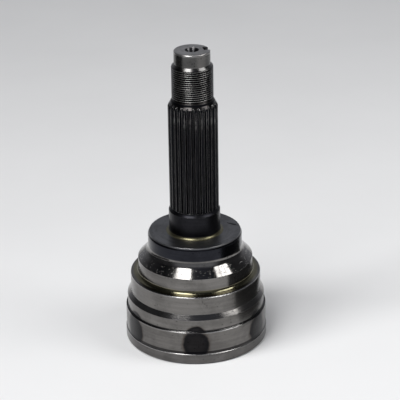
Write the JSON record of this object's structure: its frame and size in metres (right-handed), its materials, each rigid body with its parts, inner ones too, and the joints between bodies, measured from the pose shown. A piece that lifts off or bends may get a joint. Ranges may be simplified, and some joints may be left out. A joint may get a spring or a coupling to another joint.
{
  "type": "constant velocity joint",
  "caption": "Outboard ball-type constant-velocity joint: a bell with a splined, threaded stub axle, holding an inner race, a cage and balls.",
  "frame": {"origin": "centre of the bell's mouth face, on the stub axle's own axis", "axes": "+Z along the stub axle from the mouth to the threaded end; the half shaft bends about X, in the YZ plane"},
  "size_m": [0.0839, 0.0838, 0.178],
  "materials": {
    "forged_steel": "turned, hardened and oiled",
    "race_steel": "ground",
    "cage_steel": "hardened and blackened",
    "ball_steel": "polished",
    "spring_steel": "oiled"
  },
  "bodies": {
    "outer_race": {"outer_race": "forged_steel"},
    "inner_race": {"inner_race": "race_steel", "retaining_ring": "spring_steel"},
    "cage": {"cage": "cage_steel"},
    "ball_1": {"ball_1": "ball_steel"},
    "ball_2": {"ball_2": "ball_steel"},
    "ball_3": {"ball_3": "ball_steel"},
    "ball_4": {"ball_4": "ball_steel"},
    "ball_5": {"ball_5": "ball_steel"},
    "ball_6": {"ball_6": "ball_steel"}
  },
  "joints": [
    {"name": "shaft_bend", "type": "hinge", "parent": "outer_race", "child": "inner_race", "pos_m": [0, 0, 0.02], "axis": [1, 0, 0], "range_deg": [-45, 45]},
    {"name": "cage_tilt", "type": "hinge", "parent": "outer_race", "child": "cage", "pos_m": [0, 0, 0.02], "axis": [1, 0, 0], "range_deg": [-22.5, 22.5]},
    {"name": "ball_1_roll", "type": "hinge", "parent": "outer_race", "child": "ball_1", "pos_m": [0, 0, 0.0175], "axis": [1, 0, 0], "range_deg": [-22.51, 22.51]},
    {"name": "ball_2_roll", "type": "hinge", "parent": "outer_race", "child": "ball_2", "pos_m": [0, 0, 0.0175], "axis": [0.5, 0.866, 0], "range_deg": [-11.64, 11.64]},
    {"name": "ball_3_roll", "type": "hinge", "parent": "outer_race", "child": "ball_3", "pos_m": [0, 0, 0.0175], "axis": [-0.5, 0.866, 0], "range_deg": [-11.64, 11.64]},
    {"name": "ball_4_roll", "type": "hinge", "parent": "outer_race", "child": "ball_4", "pos_m": [0, 0, 0.0175], "axis": [-1, 0, 0], "range_deg": [-22.51, 22.51]},
    {"name": "ball_5_roll", "type": "hinge", "parent": "outer_race", "child": "ball_5", "pos_m": [0, 0, 0.0175], "axis": [-0.5, -0.866, 0], "range_deg": [-11.64, 11.64]},
    {"name": "ball_6_roll", "type": "hinge", "parent": "outer_race", "child": "ball_6", "pos_m": [0, 0, 0.0175], "axis": [0.5, -0.866, 0], "range_deg": [-11.64, 11.64]}
  ],
  "couplings": [
    {"joint": "cage_tilt", "follows": "shaft_bend", "ratio": 0.5},
    {"joint": "ball_1_roll", "follows": "shaft_bend", "ratio": 0.5},
    {"joint": "ball_2_roll", "follows": "shaft_bend", "ratio": 0.2585},
    {"joint": "ball_3_roll", "follows": "shaft_bend", "ratio": -0.2585},
    {"joint": "ball_4_roll", "follows": "shaft_bend", "ratio": -0.5},
    {"joint": "ball_5_roll", "follows": "shaft_bend", "ratio": -0.2585},
    {"joint": "ball_6_roll", "follows": "shaft_bend", "ratio": 0.2585}
  ]
}
